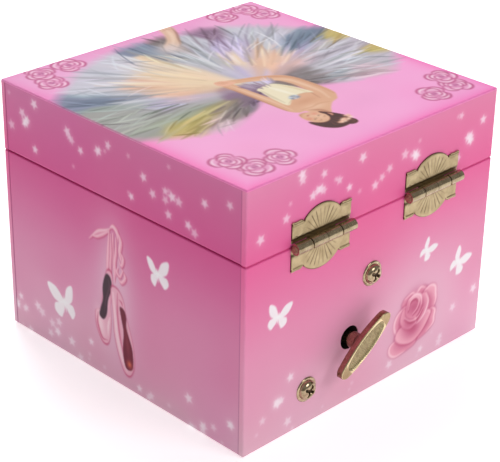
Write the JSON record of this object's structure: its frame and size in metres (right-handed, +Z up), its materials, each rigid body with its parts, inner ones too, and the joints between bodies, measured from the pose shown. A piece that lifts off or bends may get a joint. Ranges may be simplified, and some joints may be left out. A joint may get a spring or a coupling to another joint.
{
  "type": "wind-up music box",
  "caption": "Square wrapped board box with a hinged lid, a back winding key, a pinned-cylinder comb movement and a dancer that turns on its deck.",
  "frame": {"origin": "middle of the underside, on the surface that the box stands on", "axes": "+Z up; +Y towards the back wall with the hinges and the winding key; +X to the right of someone who faces the front"},
  "size_m": [0.108, 0.1154, 0.0865],
  "materials": {
    "wrap": "glossy printed paper wrap",
    "board": "raw fibreboard",
    "felt": "flocked felt",
    "lining": "satin-faced lining",
    "mirror": "silvered glass",
    "hinge": "stamped, pale antique brass plating",
    "pin": "drawn wire",
    "key": "polished plating",
    "screw": "brass-coloured zinc plating",
    "zinc": "as-cast light alloy",
    "steel": "ground",
    "brass": "machined",
    "dancer": "moulded and painted",
    "net": "stiffened net"
  },
  "bodies": {
    "base": {"base_back_wall": "wrap", "base_front_wall": "wrap", "base_left_wall": "wrap", "base_right_wall": "wrap", "base_floor_panel": "board", "underside_felt": "felt", "compartment_divider": "board", "deck_panel": "lining", "deck_cleat_left": "board", "deck_cleat_right": "board", "tray_front_lining": "lining", "tray_left_lining": "lining", "tray_right_lining": "lining", "tray_divider_lining": "lining", "tray_pad": "lining", "hinge_left_base_leaf": "hinge", "hinge_left_pin": "pin", "hinge_right_base_leaf": "hinge", "hinge_right_pin": "pin", "movement_screw_upper": "screw", "movement_screw_lower": "screw", "movement_bedplate": "zinc", "spring_housing": "zinc", "mainspring": "steel", "cylinder_bracket_inner": "zinc", "cylinder_bracket_outer": "zinc", "comb": "steel", "comb_screw_1": "steel", "comb_screw_2": "steel", "governor_frame": "brass", "governor_screw": "steel", "spindle_bracket": "zinc", "spindle_screw": "steel"},
    "lid": {"lid_top_panel": "wrap", "lid_front_rail": "wrap", "lid_back_rail": "wrap", "lid_left_rail": "wrap", "lid_right_rail": "wrap", "lid_lining": "lining", "lid_mirror": "mirror", "lid_push_block": "board", "hinge_left_lid_leaf": "hinge", "hinge_right_lid_leaf": "hinge"},
    "drive_wheel": {"crown_wheel": "brass", "clutch_spring": "steel"},
    "key": {"key_handle": "key", "key_shaft": "key", "winding_arbor": "steel", "arbor_clip": "steel"},
    "cylinder": {"pinned_cylinder": "brass", "cylinder_arbor": "brass", "cylinder_gear": "brass"},
    "governor_wheel": {"governor_wheel": "brass"},
    "governor_worm": {"governor_worm": "steel", "governor_fan": "brass"},
    "figure": {"figure_spindle": "brass", "figure_spring": "steel", "dancer_figure": "dancer", "dancer_tutu": "net"},
    "stop_rod": {"stop_rod": "steel"}
  },
  "joints": [
    {"name": "lid_hinge", "type": "hinge", "parent": "base", "child": "lid", "pos_m": [0, 0.05595, 0.0632], "axis": [-1, 0, 0], "range_deg": [0, 100]},
    {"name": "drive_wheel_turn", "type": "hinge", "parent": "base", "child": "drive_wheel", "pos_m": [0.0097, 0.0338, 0.0232], "axis": [0, 1, 0], "continuous": true},
    {"name": "key_winding", "type": "hinge", "parent": "drive_wheel", "child": "key", "pos_m": [0.0097, 0.056, 0.0232], "axis": [0, 1, 0], "continuous": true},
    {"name": "cylinder_turn", "type": "hinge", "parent": "base", "child": "cylinder", "pos_m": [0.0315, 0.0385, 0.0232], "axis": [1, 0, 0], "continuous": true},
    {"name": "governor_wheel_turn", "type": "hinge", "parent": "base", "child": "governor_wheel", "pos_m": [0.0425, 0.0385, 0.0152], "axis": [1, 0, 0], "continuous": true},
    {"name": "governor_worm_turn", "type": "hinge", "parent": "base", "child": "governor_worm", "pos_m": [0.0436, 0.0385, 0.0104], "axis": [0, 1, 0], "continuous": true},
    {"name": "figure_turn", "type": "hinge", "parent": "base", "child": "figure", "pos_m": [0.0097, 0.0385, 0.05], "axis": [0, 0, 1], "continuous": true},
    {"name": "stop_rod_slide", "type": "slide", "parent": "base", "child": "stop_rod", "axis": [0, 0, 1], "range_m": [0, 0.003]}
  ],
  "couplings": [
    {"joint": "cylinder_turn", "follows": "drive_wheel_turn", "ratio": 4},
    {"joint": "governor_wheel_turn", "follows": "drive_wheel_turn", "ratio": -16},
    {"joint": "governor_worm_turn", "follows": "drive_wheel_turn", "ratio": 256},
    {"joint": "figure_turn", "follows": "drive_wheel_turn", "ratio": 4},
    {"joint": "stop_rod_slide", "follows": "lid_hinge", "m_per_rad": 0.0014324}
  ]
}
